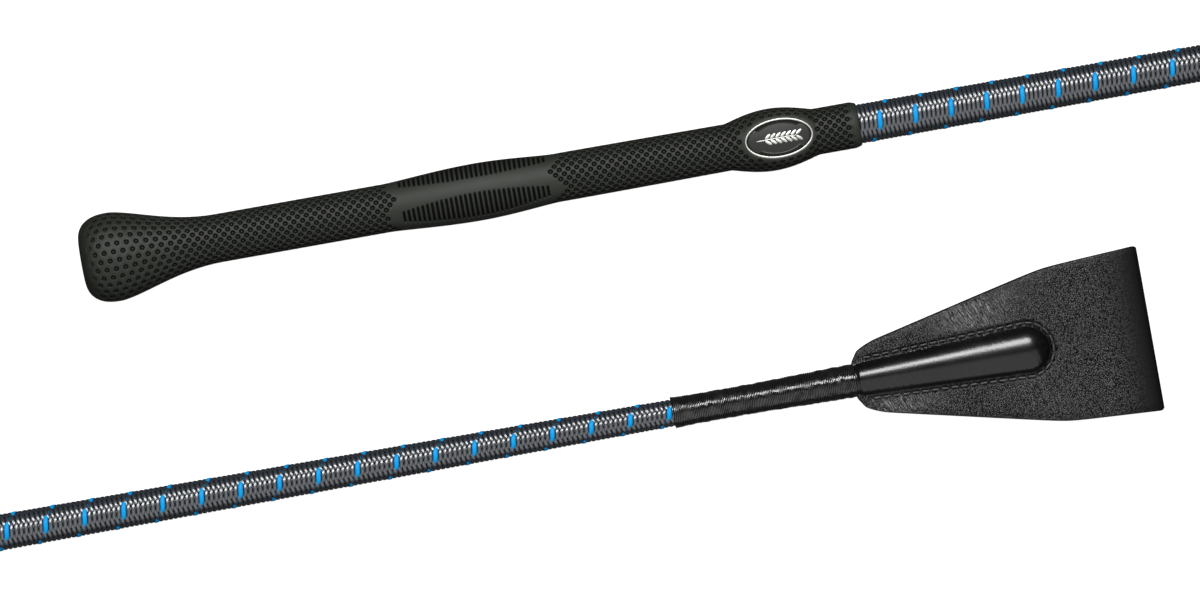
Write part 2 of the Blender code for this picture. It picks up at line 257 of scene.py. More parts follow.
def surface(name, grids, finish, loop=False, uv=None):
    """A closed smooth mesh over grids of points of the shape (tubes, rows, columns, 3).

    Each point joins the next of its row, the last joining the first, and the same column of
    the next row. The first and last rows are filled in, or with loop joined to each other.
    Where the volume comes out negative, every face is turned round.
    """
    grids = in_frame(grids if np.ndim(grids) == 4 else np.asarray(grids)[None])
    tubes, rows, columns, _ = grids.shape
    index = np.arange(tubes * rows * columns).reshape(tubes, rows, columns)
    if loop:
        index = np.concatenate([index, index[:, :1]], axis=1)
    beside = np.roll(index, -1, axis=2)
    quads = vectors(index[:, :-1], beside[:, :-1], beside[:, 1:], index[:, 1:]).reshape(-1, 4)
    caps = np.zeros((0, columns), int) if loop else np.concatenate([index[:, 0, ::-1], index[:, -1]])
    points = grids.reshape(-1, 3)
    a, b, c, d = (points[quads[:, k]] - points.mean(axis=0) for k in range(4))
    turned = (np.cross(a, b) * c).sum() + (np.cross(a, c) * d).sum() < 0.0
    if turned:
        quads = quads[:, ::-1]
        caps = caps[:, ::-1]
    mesh = bpy.data.meshes.new(name)
    mesh.vertices.add(len(points))
    mesh.vertices.foreach_set("co", points.ravel())
    mesh.loops.add(quads.size + caps.size)
    mesh.loops.foreach_set("vertex_index", np.concatenate([quads.ravel(), caps.ravel()]))
    mesh.polygons.add(len(quads) + len(caps))
    starts = [np.arange(len(quads)) * 4, quads.size + np.arange(len(caps)) * columns]
    mesh.polygons.foreach_set("loop_start", np.concatenate(starts))
    mesh.update(calc_edges=True)
    mesh.polygons.foreach_set("use_smooth", np.arange(len(mesh.polygons)) < len(quads))
    if uv is not None:
        corners = np.stack([uv[:, :-1, :-1], uv[:, :-1, 1:], uv[:, 1:, 1:], uv[:, 1:, :-1]], axis=3)
        corners = corners[:, :, :, ::-1] if turned else corners
        flat = np.concatenate([corners.reshape(-1, 2), np.zeros((caps.size, 2))])
        mesh.uv_layers.new(name="lay").uv.foreach_set("vector", flat.ravel())
    mesh.materials.append(finish)
    piece = bpy.data.objects.new(name, mesh)
    bpy.context.scene.collection.objects.link(piece)
    return piece


def thread_along(path, outward, half_width, half_height, sides, squareness=1.0):
    """Sections carried along a path, with their height towards outward and their width across it.

    A section is a superellipse: cosine and sine of the angle round it, each to the power of
    squareness with its sign kept.
    """
    ahead = np.gradient(path, axis=-2)
    ahead /= np.linalg.norm(ahead, axis=-1, keepdims=True)
    aside = np.cross(ahead, outward)
    aside /= np.linalg.norm(aside, axis=-1, keepdims=True)
    upward = np.cross(aside, ahead)
    angle = np.arange(sides) * math.tau / sides
    wide = np.sign(np.cos(angle)) * np.abs(np.cos(angle)) ** squareness
    high = np.sign(np.sin(angle)) * np.abs(np.sin(angle)) ** squareness
    wide = np.asarray(half_width)[..., None, None] * wide[:, None]
    high = np.asarray(half_height)[..., None, None] * high[:, None]
    return path[..., None, :] + aside[..., None, :] * wide + upward[..., None, :] * high


def braid_turns():
    """Stations along the braid, and a yarn's turns from the first blue crossing to each of them.

    The turns are the sum of length over lay.
    """
    stations = np.linspace(GRIP_END - 6.0, COVER_END, 3000)
    change = smooth_step((stations - LAY_CHANGE[0]) / (LAY_CHANGE[1] - LAY_CHANGE[0]))
    lay = LAY_AT_GRIP + (LAY_ON_SHAFT - LAY_AT_GRIP) * change
    turns = np.concatenate([[0.0], np.cumsum(np.diff(stations) / lay[1:])])
    return stations, turns - np.interp(TRACER_FRONT, stations, turns)


def braid_yarns(hand, numbers, width, proud=0.0):
    """The grids and UVs of some yarns of one hand.

    A yarn turns once round the shaft in each lay. Four times a turn it swings from the upper
    layer to the lower one: a cosine of four times the turns, flattened by a hyperbolic tangent so
    that it stays up over two yarns and down under the next two. A sine along the shaft in step
    with it stands the yarn more upright while it is up, and leans it over while it is hidden. A
    proud yarn lies a little higher and stays up a little longer than its neighbours.
    """
    station_table, turn_table = braid_turns()
    turns = np.arange(turn_table[0], turn_table[-1], 1.0 / YARN_STEPS)[None, :]
    number = np.asarray(numbers)[:, None]
    u = np.interp(turns, turn_table, station_table)
    if hand > 0:
        angle = math.tau * (number / YARNS + turns)
        phase = math.tau * FLOATS * turns + math.pi * number
    else:
        angle = math.tau * (number / YARNS - turns - 0.5 / YARNS)
        phase = math.tau * FLOATS * turns - math.pi * number - math.pi / 2
    swing = np.tanh(SWING_SHARPNESS * (np.cos(phase) + 4.0 * proud)) / math.tanh(SWING_SHARPNESS)
    radius = shaft_radius(u) - YARN_THICKNESS / 2 - (1.0 - swing) * YARN_SWING + (1.0 + swing) / 2 * proud
    u = u - FLOAT_TURN * LAY_ON_SHAFT / (math.tau * FLOATS) * np.sin(phase)
    u = np.clip(u, COVER_START, COVER_END)
    outward = vectors(0.0, np.sin(angle), np.cos(angle))
    path = outward * radius[..., None]
    path[..., 0] = u
    wide = width / 2 * (0.90 + 0.10 * np.cos(phase))
    grids = thread_along(path, outward, wide, YARN_THICKNESS / 2, YARN_SIDES, 0.85)
    length = np.cumsum(np.linalg.norm(np.diff(path, axis=1, prepend=path[:, :1]), axis=-1), axis=1)
    round_it = np.arange(YARN_SIDES + 1) / YARN_SIDES
    return grids, vectors(length[..., None], round_it)


def yarn_finish(name, dark, light, roughness, gloss):
    """Bundled filaments: fine lines along the yarn that wander a little, with a painted highlight along its
    crown and painted shade at its edges.
    """
    made, build, shader = new_finish(name, Specular_IOR_Level=gloss, IOR=1.9)
    lay = build.node("UVMap", {}, uv_map="lay")
    drawn_out = build.node("Mapping", {"Vector": lay, "Scale": (0.9, 46.0, 1.0)})
    lines = noise(build, drawn_out, 1.0, 3.0, 0.6)
    patches = noise(build, stretched(build, 260.0, 260.0), 1.0, 2.0)
    # The crown is the outer middle of the yarn's section: the colour is lighter there as a painted
    # highlight and darker towards the edges as painted shade.
    crown = (lay.parts()[1] * math.tau).sine().between(0.1, 0.98)
    shade = crown * 0.7 + lines.between(0.25, 0.75) * 0.2 + patches * 0.15
    # Painted shade at the yarn's edges: its gloss is mixed towards black.
    painted_shade = 0.6 - 0.6 * crown
    connect(build, shader, shade.blend(dark, light), roughness + 0.12 * lines, lines, 0.045, painted_shade)
    return made


def turned_grid(u, radius, columns):
    """Points round the axis: for each (u, radius), a circle that starts at the top."""
    angle = np.arange(columns) * math.tau / columns
    u, radius = np.asarray(u)[:, None], np.asarray(radius)[:, None]
    return vectors(u, radius * np.sin(angle), radius * np.cos(angle))


UNDER_YARNS = ((0.003, 0.003, 0.0035), (0.01, 0.010, 0.012))
under = {"Specular_IOR_Level": 0.3}
dark = grained("braid_underlayer", (900.0, 900.0), 2.0, UNDER_YARNS, (0.6, 0.2), 0.05, **under)
ground_u = np.concatenate([[COVER_START, GRIP_END], np.linspace(GRIP_END, COVER_END, 60)[1:]])
ground_radius = shaft_radius(ground_u) - YARN_THICKNESS - 0.12
ground = surface("braid_underlayer", turned_grid(ground_u, ground_radius, 48), dark)
# In each pair the darker colour goes to the yarns' edges as painted shade and the lighter to their crowns
# as a painted highlight; fine streaks and patches move between them.
grey = yarn_finish("slate_yarn", (0.003, 0.004, 0.005), (0.013, 0.018, 0.025), 0.27, 0.66)
blue = yarn_finish("blue_yarn", (0.0, 0.028, 0.38), (0.0, 0.23, 0.46), 0.40, 0.05)
grids, uv = braid_yarns(1, range(1, YARNS), YARN_WIDTH)
right_yarns = surface("braid_yarns_right", grids, grey, uv=uv)
grids, uv = braid_yarns(-1, range(YARNS), YARN_WIDTH)
left_yarns = surface("braid_yarns_left", grids, grey, uv=uv)
grids, uv = braid_yarns(1, range(1), TRACER_WIDTH, proud=0.11)
tracer = surface("braid_tracer", grids, blue, uv=uv)
for piece in (ground, right_yarns, left_yarns):
    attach(piece, "crop")
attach(tracer, "crop")
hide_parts("braid_cover")
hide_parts("tracer_yarn")

# --- Grip ---
# One black rubber moulding is pushed on over the braid. It swells to a bulb at the butt, a
# thumb swell with smooth bands and ribbed panels, and a seat for the badge; pits cover the rest.

GRIP_RADIUS = 6.75
GRIP_FRONT_RADIUS = 6.45
GRIP_BORE = 5.65
BULB_RADIUS = AXIS / MM
BULB_WIDEST = 9.1
BULB_END = 39.0
BUTT_FLAT = 5.0
SWELL = (86.0, 111.5, 133.0, 1.25, 1.25)  # start, top, end, height and the power of its cosine
SEAT = (181.8, 194.0, 206.4, 2.2, 1.0)
FRONT_CHAMFER = 1.8
PIT_LINES = 32  # lines of pits round the grip, every other one half a pitch on
PIT_PITCH = 2.45
PIT_PITCH_ON_BULB = 2.66
PIT_RADIUS = 0.78
PIT_DEPTH = 0.34
PIT_ANGLE = math.radians(16.9)  # one line's angle from the top
PIT_AT = 88.1  # a pit's centre on that line
RIB_PITCH = 1.348
RIB_FIRST = 90.3
RIB_COUNT = 31
RIB_DEPTH = 0.42
PANEL_ANGLE = math.radians(-30.0)  # one ribbed panel's middle; the others follow at right angles
PANEL_HALF = (math.radians(14.0), math.radians(15.5))  # at the ends, and what the middle adds
GRIP_COLUMNS = 4 * PIT_LINES
BARE = (87.2, 133.2)  # the thumb swell has no pits between these
BADGE_AT = 196.0
BADGE_HALF_LENGTH = 9.7
BADGE_HALF_WIDTH = 5.6
BADGE_TOP = 8.05
BADGE_TILT = 0.036
BADGE_BEND_LENGTHWAYS = 55.0
BADGE_BEND_ACROSS = 30.0


def grip_radius(u):
    """The grip's plain outer radius: a level base, a half-cosine bulb and two cosine humps."""
    narrowing = smooth_step((u - SWELL[2]) / (SEAT[2] - SWELL[2]))
    radius = GRIP_RADIUS - (GRIP_RADIUS - GRIP_FRONT_RADIUS) * narrowing
    along = np.clip((u - BULB_WIDEST) / (BULB_END - BULB_WIDEST), 0.0, 1.0) ** 0.75
    radius = radius + (BULB_RADIUS - GRIP_RADIUS) * (1.0 + np.cos(math.pi * along)) / 2.0
    for start, top, end, height, power in (SWELL, SEAT):
        away = np.clip(np.where(u > top, (u - top) / (end - top), (u - top) / (top - start)), -1.0, 1.0)
        radius = radius + height * np.abs(np.cos(away * math.pi / 2.0)) ** power
    return radius


def grip_profile():
    """(u, radius) down the whole outside, from the middle of the butt to the front lip.

    The butt is flat in the middle, and turns into the bulb as a superellipse of power 2.5.
    """
    flat = np.array([[0.0, 0.2], [0.0, 2.5]])
    away = np.cos(np.linspace(0.0, math.pi / 2, 34))
    corner_u = BULB_WIDEST * (1.0 - away)
    corner_r = BUTT_FLAT + (BULB_RADIUS - BUTT_FLAT) * (1.0 - away**2.5) ** (1.0 / 2.5)
    rib_rows = np.arange(RIB_FIRST - RIB_PITCH, RIB_FIRST + RIB_COUNT * RIB_PITCH, RIB_PITCH / 6)
    behind = np.arange(BULB_WIDEST + 0.35, rib_rows[0] - 0.2, PIT_PITCH / 7)
    front = np.linspace(rib_rows[-1] + 0.3, GRIP_END - FRONT_CHAMFER, 232)
    body_u = np.concatenate([behind, rib_rows, front])
    lip = [[GRIP_END - 0.5, GRIP_FRONT_RADIUS - 0.35], [GRIP_END - 0.1, GRIP_FRONT_RADIUS - 0.6]]
    lip = np.array(lip + [[GRIP_END, GRIP_BORE + 0.05]])
    return np.concatenate([flat, vectors(corner_u, corner_r), vectors(body_u, grip_radius(body_u)), lip])


def pit_rows(u):
    """Pitches counted along the grip from the reference pit; they lengthen a little on the bulb."""
    on_bulb = smooth_step((34.0 - u) / 16.0)
    pitch = PIT_PITCH + (PIT_PITCH_ON_BULB - PIT_PITCH) * on_bulb
    order = np.argsort(u)
    steps = np.diff(u[order], prepend=u[order][0]) / pitch[order]
    count = np.empty_like(u)
    count[order] = np.cumsum(steps)
    return count - np.interp(PIT_AT, u[order], count[order]), pitch


def badge_share(x, y):
    """How far out of the badge's oval a place is: 1 on its outline."""
    return np.hypot(x / BADGE_HALF_LENGTH, y / BADGE_HALF_WIDTH)


def badge_crown(x, y):
    """Height of the badge's face above the axis: tilted a little and crowned both ways."""
    lengthways = x * x / (2 * BADGE_BEND_LENGTHWAYS)
    return BADGE_TOP - BADGE_TILT * x - lengthways - y * y / (2 * BADGE_BEND_ACROSS)


def pit_field(u, radius, angle):
    """Depth of the pits, and which places belong to a pit's cell that holds one.

    A pit is (1 - e^2) to the power 0.85 deep, with e the distance from its centre in pit radii.
    Whole pits are left out over the thumb swell, under the badge, and at the rounded butt.
    """
    rows, pitch = pit_rows(u)
    rows, pitch, u, radius = (v[:, None] for v in (rows, pitch, u, radius))
    lines = ((angle - PIT_ANGLE) / (math.tau / PIT_LINES))[None, :]
    depth = np.zeros(np.broadcast_shapes(rows.shape, lines.shape))
    nearest = np.full(depth.shape, np.inf)
    holds = np.zeros(depth.shape)
    for shift in (0.0, 1.0):
        off_row = rows - shift / 2 - np.round(rows - shift / 2)
        off_line = (lines - shift) / 2 - np.round((lines - shift) / 2)
        away_u = off_row * pitch
        away_v = off_line * 2 * radius * math.tau / PIT_LINES
        centre_u = u - away_u
        centre_angle = angle[None, :] - off_line * 2 * math.tau / PIT_LINES
        lobes = np.cos(4 * (centre_angle - PIT_ANGLE))
        swell = (centre_u > BARE[0] + lobes) & (centre_u < BARE[1] - 1.8 * lobes)
        share = badge_share(centre_u - BADGE_AT, radius * np.sin(centre_angle))
        badge = (share < 1.13) & (np.cos(centre_angle) > 0.0)
        kept = smooth_step((centre_u - 1.2) / 4.0) * ~swell * ~badge * (centre_u < GRIP_END - 2.6)
        distance = (away_u**2 + away_v**2) / PIT_RADIUS**2
        depth += kept * PIT_DEPTH * np.clip(1.0 - distance, 0.0, 1.0) ** 0.85
        holds = np.where(distance < nearest, kept, holds)
        nearest = np.minimum(distance, nearest)
    return depth, holds


def rib_field(u, angle):
    """Depth of the grooves between the ribs, and the four panels with bowed sides they fill."""
    count = (u - RIB_FIRST) / RIB_PITCH
    groove = np.clip(1.35 * np.cos(math.tau * (count - np.round(count)) * 0.8) - 0.35, 0.0, 1.0)
    ribbed = (np.round(count) >= 0) * (np.round(count) < RIB_COUNT)
    middle = RIB_FIRST + RIB_PITCH * (RIB_COUNT - 1) / 2
    bow = 1.0 - ((u - middle) / (RIB_PITCH * RIB_COUNT / 2)) ** 2
    half = PANEL_HALF[0] + PANEL_HALF[1] * np.clip(bow, 0.0, 1.0)
    quarter = math.tau / 4
    away = (angle[None, :] - PANEL_ANGLE) / quarter
    away = np.abs(away - np.round(away)) * quarter
    inside = smooth_step((half[:, None] - away) / math.radians(3.2)) * ribbed[:, None]
    return RIB_DEPTH * groove[:, None] * inside, inside


def seat_badge(points):
    """Sinks a pocket for the badge and draws the rubber up to its rim as a low collar."""
    x = points[..., 0] - BADGE_AT
    share = badge_share(x, points[..., 1])
    crown = badge_crown(x, points[..., 1])
    upper = points[..., 2] > 2.0
    collar = crown - 0.05 - 9.0 * np.maximum(share - 1.03, 0.0) ** 1.5
    height = np.where(upper & (share < 1.35), np.maximum(points[..., 2], collar), points[..., 2])
    sunk = (crown - 1.1) + (height - crown + 1.1) * smooth_step((share - 0.9) / 0.08)
    points[..., 2] = np.where(upper & (share < 1.0), np.minimum(height, sunk), height)
    return points


def grip_grid():
    """The profile turned about the axis, sunk along its normal by the pits and the grooves."""
    profile = grip_profile()
    u, radius = profile[:, 0], profile[:, 1]
    along = np.gradient(profile, axis=0)
    along /= np.linalg.norm(along, axis=1, keepdims=True)
    angle = PIT_ANGLE + np.arange(GRIP_COLUMNS) * math.tau / GRIP_COLUMNS
    pits, holds = pit_field(u, radius, angle)
    grooves, inside = rib_field(u, angle)
    depth = pits + grooves
    depth[u < 0.9] = 0.0
    out = radius[:, None] - depth * along[:, :1]
    forward = u[:, None] + depth * along[:, 1:]
    points = vectors(forward, out * np.sin(angle), out * np.cos(angle))
    bore_u = np.array([GRIP_END - 0.2, COVER_START - 0.3])
    bore = turned_grid(bore_u, np.full(2, GRIP_BORE), GRIP_COLUMNS)
    bore = np.roll(bore, -round(PIT_ANGLE / math.tau * GRIP_COLUMNS), axis=1)
    rows, pitch = pit_rows(u)
    spread = 2 * radius * math.tau / PIT_LINES
    lattice = vectors(rows[:, None], np.arange(GRIP_COLUMNS + 1) * PIT_LINES / GRIP_COLUMNS)
    lattice = np.concatenate([lattice, np.zeros((2, GRIP_COLUMNS + 1, 2))])
    cells = vectors(pitch[:, None], spread[:, None], holds)
    cells[u > GRIP_END - FRONT_CHAMFER - 0.01] = 0.0
    cells = np.concatenate([cells, np.zeros((2, GRIP_COLUMNS, 3))])
    inside = np.concatenate([inside, np.zeros((2, GRIP_COLUMNS))])
    return np.concatenate([seat_badge(points), bore]), lattice[None], cells, inside


def paint(piece, name, values):
    """Stores one number, or one vector, for each point, for the finish to read."""
    kind, slot = ("FLOAT_VECTOR", "vector") if np.ndim(values) == 3 else ("FLOAT", "value")
    attribute = piece.data.attributes.new(name, kind, "POINT")
    attribute.data.foreach_set(slot, np.asarray(values, np.float32).ravel())


def painted(build, name, output="Fac"):
    """What paint stored on the piece under this name."""
    return build.node("Attribute", {}, output=output, attribute_name=name)


def rubber_finish():
    """Black rubber with a fine moulded grain, with painted shade on the walls of the pits and in the
    grooves, and a painted highlight at each pit's middle.

    The pits repeat in the lattice's own coordinates, and the grooves along the grip.
    """
    made, build, shader = new_finish("black_rubber", Specular_IOR_Level=0.32)
    row, line, _ = build.node("UVMap", {}, uv_map="lay").parts()
    pitch, spread, holds = painted(build, "cell", "Vector").parts()
    reach = []
    for shift in (0.0, 1.0):
        along = (row - shift / 2).wrapped() * pitch
        across = ((line - shift) * 0.5).wrapped() * spread
        reach.append((along * along + across * across) ** 0.5)
    nearest = reach[0].maths("MINIMUM", reach[0], reach[1])
    pit = holds * (1.0 - nearest.between(0.44, 0.80))
    # A painted highlight at the middle of each pit, where its floor would catch the light.
    pit_middle_highlight = 1.0 - nearest.between(0.10, 0.42)
    along = build.node("TexCoord", {}, output="Object").parts()[0]
    off = ((along - (BUTT + RIB_FIRST * MM)) * (1.0 / (RIB_PITCH * MM))).wrapped()
    groove = painted(build, "ribbed") * (1.0 - off.maths("ABSOLUTE", off, 0.0).between(0.12, 0.30))
    fine = noise(build, stretched(build, 5200.0, 5200.0), 1.0, 2.0)
    cloud = noise(build, stretched(build, 130.0, 260.0), 1.0, 3.0)
    # Painted shade in the pits, less at their middles, and in the grooves between the ribs; the cloud and
    # the fine noise are random tone.
    shade = (0.45 + 0.4 * cloud + 0.3 * fine) * (1.0 - pit * (1.0 - pit_middle_highlight)) * (1.0 - 0.92 * groove)
    colour = shade.blend((0.0006, 0.0006, 0.0005), (0.0112, 0.0136, 0.0092))
    roughness = 0.52 + 0.12 * cloud + 0.10 * fine + 0.25 * groove + 0.2 * pit
    # Painted shade: the gloss in the pits and the grooves is mixed towards black.
    painted_shade = pit * (0.85 - 0.85 * pit_middle_highlight) + 0.8 * groove
    connect(build, shader, colour, roughness, fine * 0.05 - pit - groove, 0.30, painted_shade)
    return made


grid, lattice, cells, inside = grip_grid()
grip = surface("grip_moulding", grid, rubber_finish(), uv=lattice)
paint(grip, "cell", cells)
paint(grip, "ribbed", inside)
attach(grip, "crop")
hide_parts("grip_body")

# --- Badge ---
# An oval metal badge is sunk in the seat: a dark satin plate inside a bright turned-over
# rim. A plain ear of wheat is raised on it in the rim's metal.

RIM_WIDTH = 0.75
RIM_RISE = 0.2
BADGE_DEPTH = 0.8
OVALS_ALIKE = 1.5  # further in than this, the ovals keep the outline's shape
STEM = (-6.6, 5.2)  # the ear's stem, from end to end
STEM_HALF_WIDTH = 0.17
GRAINS = 7  # on each side of the stem
GRAIN_SPACING = 1.45
GRAIN_LENGTH = 2.1
GRAIN_HALF_WIDTH = 0.46
GRAIN_LEAN = math.radians(36.0)


def on_badge(x, y, rise):
    """Points at a rise above the badge's crown."""
    return vectors(BADGE_AT + x, y, badge_crown(x, y) + rise)


def oval_rows(shrink, heights, columns):
    """Ovals inside the badge's outline by shrink, at heights above its crown.

    Near the outline both half axes lose as much; further in, they keep their ratio.
    """
    angle = np.arange(columns) * math.tau / columns
    shrink, heights = np.asarray(shrink)[:, None], np.asarray(heights)[:, None]
    half_length = BADGE_HALF_LENGTH - shrink
    alike = BADGE_HALF_WIDTH * half_length / BADGE_HALF_LENGTH
    x = half_length * np.cos(angle)
    y = np.where(shrink > OVALS_ALIKE, alike, BADGE_HALF_WIDTH - shrink) * np.sin(angle)
    return on_badge(x, y, heights)


def rim_grid():
    """A rounded section carried round the oval, half sunk in the pocket."""
    turn = np.arange(16) * math.tau / 16
    inset = RIM_WIDTH / 2 - RIM_WIDTH / 2 * np.cos(turn)
    height = RIM_RISE - 0.42 + 0.42 * np.sin(turn)
    return oval_rows(inset, height, 160)


def plate_grid():
    """A thin oval plate: its underside from the middle out, its edge, and its crowned face."""
    out = np.array([9.6, 6.0, 3.0, 1.6, 1.2, 0.8])
    face = out[::-1]
    heights = np.concatenate([np.full(len(out), -BADGE_DEPTH), np.where(face < 1.0, -0.08, -0.02)])
    return oval_rows(np.concatenate([out, face]), heights, 120)


def relief_grids():
    """A straight stem with lens-shaped grains leaning off it in pairs, and one at its tip."""
    share = np.linspace(-1.0, 1.0, 24)
    lens = np.sqrt(np.clip(1.0 - share * share, 0.0, 1.0))
    middle = (STEM[0] + STEM[1]) / 2
    paths = [on_badge(middle + share * (STEM[1] - STEM[0]) / 2, 0.0 * share, 0.0)]
    widths = [STEM_HALF_WIDTH * (0.1 + 0.9 * lens**0.3)]
    for number in range(GRAINS):
        root = STEM[1] - 0.4 - number * GRAIN_SPACING
        for side in (-1.0, 1.0):
            reach = (share + 1.0) * GRAIN_LENGTH / 2
            x = root + reach * math.cos(GRAIN_LEAN)
            paths.append(on_badge(x, side * (0.22 + reach * math.sin(GRAIN_LEAN)), 0.02))
            widths.append(GRAIN_HALF_WIDTH * (0.04 + 0.96 * lens))
    widths = np.stack(widths)
    return thread_along(np.stack(paths), (0.0, 0.0, 1.0), widths, 0.05 + 0.22 * widths, 10, 0.8)


METAL = ((0.34, 0.34, 0.32), (0.50, 0.50, 0.48))
bright = grained("bright_metal", (900.0, 2600.0), 4.0, METAL, (0.38, 0.15), 0.004, Metallic=1.0)
PAINT = ((0.002, 0.0023, 0.0018), (0.010, 0.011, 0.009))
coat = {"Specular_IOR_Level": 0.28, "Coat_Weight": 0.10, "Coat_Roughness": 0.15, "rough": 0.7}
satin = grained("dark_plate", (3600.0, 3600.0), 3.0, PAINT, (0.35, 0.25), 0.012, **coat)
rim = surface("badge_bezel", rim_grid(), bright, loop=True)
plate = surface("badge_face", plate_grid(), satin)
relief = surface("badge_relief", relief_grids(), bright)
for piece, finish_slot in ((rim, "badge_rim"), (plate, "badge_face"), (relief, "badge_rim")):
    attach(piece, "crop")
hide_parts("badge_rim")
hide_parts("badge_plate")

# --- Leather tongue ---
# One strip of black pebble-grained leather is folded back on itself at the far end. Its two
# leaves part round the rod's tip, pressed and polished there into a ridge, and lie flat beside it.

_, TONGUE_END = ends("tongue_flap")
LEATHER = 1.4
LEAF_GAP = 0.15
LEAF_START = WHIP_END - 6.0
NECK_HALF_WIDTH = 4.65
SHOULDER_START = 566.6
SHOULDER_END = 575.0
SIDE_AT = 577.0
SIDE_HALF_WIDTH = 11.0
SIDE_SLOPE = 0.2325
END_HALF_WIDTH = 23.2
END_SLOPE = 0.055
SIDE_BEND = 0.6
RIDGE_NECK_HALF_WIDTH = 4.4
RIDGE_HALF_WIDTH = 6.3
RIDGE_ROUND = 615.2
RIDGE_ROUND_LENGTH = 6.3
RIDGE_NECK_HEIGHT = 4.65
RIDGE_HEIGHT = 4.9
SEAM_OFFSET = 1.2
SEAM_START = WHIP_END + 2.6
SEAM_DEPTH = 0.62
STITCH = 2.7
FOLD_SWELL_START = 634.0
FOLD_LENGTH = 6.0
FOLD_HEIGHT = 2.3
CORNER_LENGTH = 0.8  # of the small rounding at the fold's ends
CORNER_WIDTH = 0.4
EDGE_INSET = 0.35  # the cut edges' rounding begins this far in
SAG_AT = 602.0  # one side hangs a little there
SAG_SLOPE = 0.27
CURL_AT = 580.0  # the other side curls up there, beside the neck
CURL_SLOPE = 0.28
OUTER_COLUMNS = 132
INNER_COLUMNS = 36
EDGE_COLUMNS = 3
CREASE_LEAN = math.radians(24.0)
CREASE_WIDTH = 0.85
CREASE_LENGTH = 5.5
CREASES_WITH_SHEEN = (  # a creased place with a painted sheen, from the butt and across, its length and width, and its strength
    (603.0, 12.0, 9.5, 5.5, 1.0),
    (617.0, -11.0, 7.0, 6.0, 0.45),
    (577.0, -9.5, 9.0, 4.5, 0.9),
)
EDGE_POLISH = 0.92
FOLD_POLISH = (638.0, 11.0)  # where it begins, and over what length it grows
FOLD_SHADE = (636.0, 13.0)


def half_width(u):
    """Half the tongue's width: a rounded shoulder, a straight flare, then nearly parallel sides.

    The two straight runs meet in the softened lesser of two lines.
    """
    flare = SIDE_HALF_WIDTH + SIDE_SLOPE * (u - SIDE_AT)
    end = END_HALF_WIDTH - END_SLOPE * (TONGUE_END - u)
    side = (flare + end - np.hypot(flare - end, SIDE_BEND)) / 2.0
    back = np.clip((SHOULDER_END - u) / (SHOULDER_END - SHOULDER_START), 0.0, 1.0)
    return NECK_HALF_WIDTH + (side - NECK_HALF_WIDTH) * (1.0 - back * back) ** 0.35


def ridge_half_width(u):
    """Half the ridge's width: it widens evenly from the whipping to its rounded end."""
    x = (np.minimum(u, RIDGE_ROUND) - WHIP_END) / (RIDGE_ROUND - WHIP_END)
    return RIDGE_NECK_HALF_WIDTH + (RIDGE_HALF_WIDTH - RIDGE_NECK_HALF_WIDTH) * x


def ridge_share(u, y, grow=0.0):
    """Squared distance from the ridge's middle line, as a share of its half width plus grow."""
    past = np.maximum(u - RIDGE_ROUND, 0.0) / (RIDGE_ROUND_LENGTH + grow)
    return (y / (ridge_half_width(u) + grow)) ** 2 + past**2


def ridge_rise(u, y):
    """The ridge's height over the flat leaf: (1 - share) to the power 0.62, eased at its foot."""
    x = np.clip((u - WHIP_END) / (RIDGE_ROUND - WHIP_END), 0.0, 1.0)
    top = RIDGE_NECK_HEIGHT + (RIDGE_HEIGHT - RIDGE_NECK_HEIGHT) * x - LEAF_GAP - LEATHER
    share = ridge_share(u, y)
    dome = np.clip(1.0 - share, 0.0, 1.0) ** 0.62
    foot = np.exp(-np.maximum(share - 0.9, 0.0) * 5.0)
    return top * (0.93 * dome + 0.07 * foot)


def seam_place(u, y):
    """How far along the seam a place is: two straight runs joined by half a circle."""
    run = RIDGE_ROUND - SEAM_START
    bend = RIDGE_HALF_WIDTH + SEAM_OFFSET
    turned = np.arctan2(np.maximum(u - RIDGE_ROUND, 0.0), np.abs(y) + 1e-9)
    place = np.minimum(u - SEAM_START, run) + bend * turned
    return np.where(y > 0.0, place, 2.0 * run + math.pi * bend - place)


def stitch_hole(along):
    """1 at each hole of the seam and 0 between: a sharp power of a cosine."""
    return np.abs(np.cos(math.pi * along / STITCH)) ** 8


def seam_sink(u, y):
    """The groove that the seam pulls into the leather, a bell curve across the seam line.

    The leather puffs up again at each hole, where the thread leaves the surface.
    """
    off = (np.sqrt(ridge_share(u, y, SEAM_OFFSET)) - 1.0) * (RIDGE_HALF_WIDTH + SEAM_OFFSET)
    begun = smooth_step((u - SEAM_START + 1.0) / 2.0)
    return begun * SEAM_DEPTH * np.exp(-((off / 0.58) ** 2)) * (1.0 - 0.9 * stitch_hole(seam_place(u, y)))


def leather_lie(u, y):
    """Slow waves of the soft leather: ripples that grow towards the sides and the free end.

    One side sags and the other curls up, in proportion to the distance past the ridge and as a
    bell curve along the crop.
    """
    loose = smooth_step((np.abs(y) - 7.0) / 9.0) * smooth_step((u - 572.0) / 12.0)
    ripple = np.sin(u / 9.0 + 0.22 * y) * 0.16 + np.sin(u / 4.3 - 0.31 * y + 1.0) * 0.07
    sag = -SAG_SLOPE * np.maximum(y - 8.5, 0.0) * np.exp(-(((u - SAG_AT) / 12.0) ** 2))
    curl = CURL_SLOPE * np.maximum(-y - 7.0, 0.0) * np.exp(-(((u - CURL_AT) / 10.0) ** 2))
    return (ripple * loose + sag + curl) * (1.0 - smooth_step((u - FOLD_SWELL_START) / 8.0))


